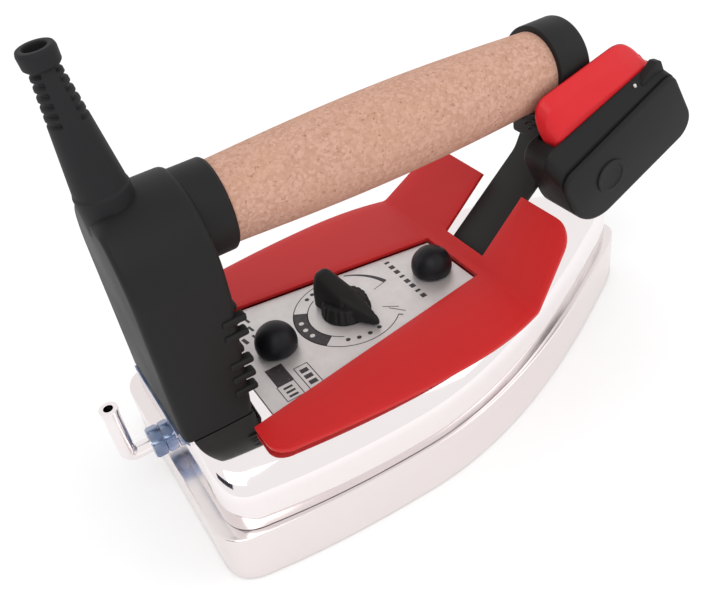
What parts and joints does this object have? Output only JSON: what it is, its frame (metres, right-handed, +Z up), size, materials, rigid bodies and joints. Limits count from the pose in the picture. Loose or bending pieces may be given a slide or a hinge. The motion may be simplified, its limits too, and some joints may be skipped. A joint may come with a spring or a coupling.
{
  "type": "industrial steam iron",
  "caption": "Industrial electric steam iron: boat-shaped soleplate, chrome cover, red heat shield, thermostat dial, cork grip and a thumb steam switch.",
  "frame": {"origin": "middle of the ironing face's length, on its centreline, at the height of the ironing face", "axes": "+X from heel to toe, +Y to the side away from the thumb switch, +Z up from the ironing face"},
  "size_m": [0.2442, 0.1194, 0.1818],
  "materials": {
    "polished_aluminium": "polished",
    "cast_aluminium": "as cast",
    "chrome": "polished",
    "red_paint": "satin paint",
    "brushed_label": "brushed",
    "zinc_steel": "blue zinc plate",
    "copper_pipe": "drawn tube",
    "cork": "pressed cork",
    "black_plastic": "satin",
    "black_paint": "satin paint",
    "black_rubber": "matt",
    "red_plastic": "gloss",
    "ceramic": "unglazed ceramic",
    "seal_rubber": "matt",
    "lead_sleeve": "woven glass sleeve"
  },
  "bodies": {
    "iron": {"soleplate": "polished_aluminium", "chamber_gasket": "seal_rubber", "chamber_lid": "cast_aluminium", "heating_element": "zinc_steel", "chrome_cover": "chrome", "label_panel": "brushed_label", "heat_shield": "red_paint", "rear_stud": "zinc_steel", "rear_stud_sleeve": "zinc_steel", "rear_ball_knob": "black_plastic", "front_stud": "zinc_steel", "front_stud_sleeve": "zinc_steel", "front_ball_knob": "black_plastic", "thermostat_body": "ceramic", "thermal_fuse": "ceramic", "rear_housing": "black_plastic", "housing_front_cover": "black_plastic", "housing_bracket": "zinc_steel", "tie_rod": "zinc_steel", "tie_rod_nut": "zinc_steel", "cork_grip": "cork", "front_cap": "black_plastic", "front_bracket": "black_paint", "cord_guard": "black_rubber", "cord_clamp": "black_plastic", "terminal_block": "ceramic", "heater_lead_far": "lead_sleeve", "heater_lead_near": "lead_sleeve", "steam_elbow": "chrome", "steam_feed_pipe": "copper_pipe", "elbow_lock_nut": "zinc_steel", "elbow_wall_nut": "zinc_steel", "switch_box": "black_plastic", "switch_cover": "black_plastic", "button_pin": "zinc_steel", "microswitch": "ceramic", "switch_screw_1": "zinc_steel", "switch_screw_2": "zinc_steel", "lid_screw_1": "zinc_steel", "lid_screw_2": "zinc_steel", "lid_screw_3": "zinc_steel", "lid_screw_4": "zinc_steel", "lid_screw_5": "zinc_steel", "lid_screw_6": "zinc_steel", "shield_spacer_1": "seal_rubber", "shield_spacer_2": "seal_rubber", "shield_spacer_3": "seal_rubber", "shield_spacer_4": "seal_rubber"},
    "dial": {"thermostat_knob": "black_plastic", "thermostat_shaft": "brushed_label"},
    "thumb_button": {"steam_button": "red_plastic"},
    "plunger": {"microswitch_plunger": "red_plastic"}
  },
  "joints": [
    {"name": "dial_turn", "type": "hinge", "parent": "iron", "child": "dial", "pos_m": [-0.0288, -0.0018, 0.055], "axis": [0, 0, 1], "range_deg": [-242, 40]},
    {"name": "button_press", "type": "hinge", "parent": "iron", "child": "thumb_button", "pos_m": [0.09767, -0.0229, 0.11274], "axis": [0, -1, 0], "range_deg": [0, 4.5], "stiffness_Nm_per_rad": 1.3, "springref_deg": -2.86},
    {"name": "plunger_press", "type": "slide", "parent": "iron", "child": "plunger", "axis": [0.4226, 0, -0.9063], "range_m": [0, 0.0015]}
  ],
  "couplings": [
    {"joint": "plunger_press", "follows": "button_press", "m_per_rad": 0.018}
  ]
}
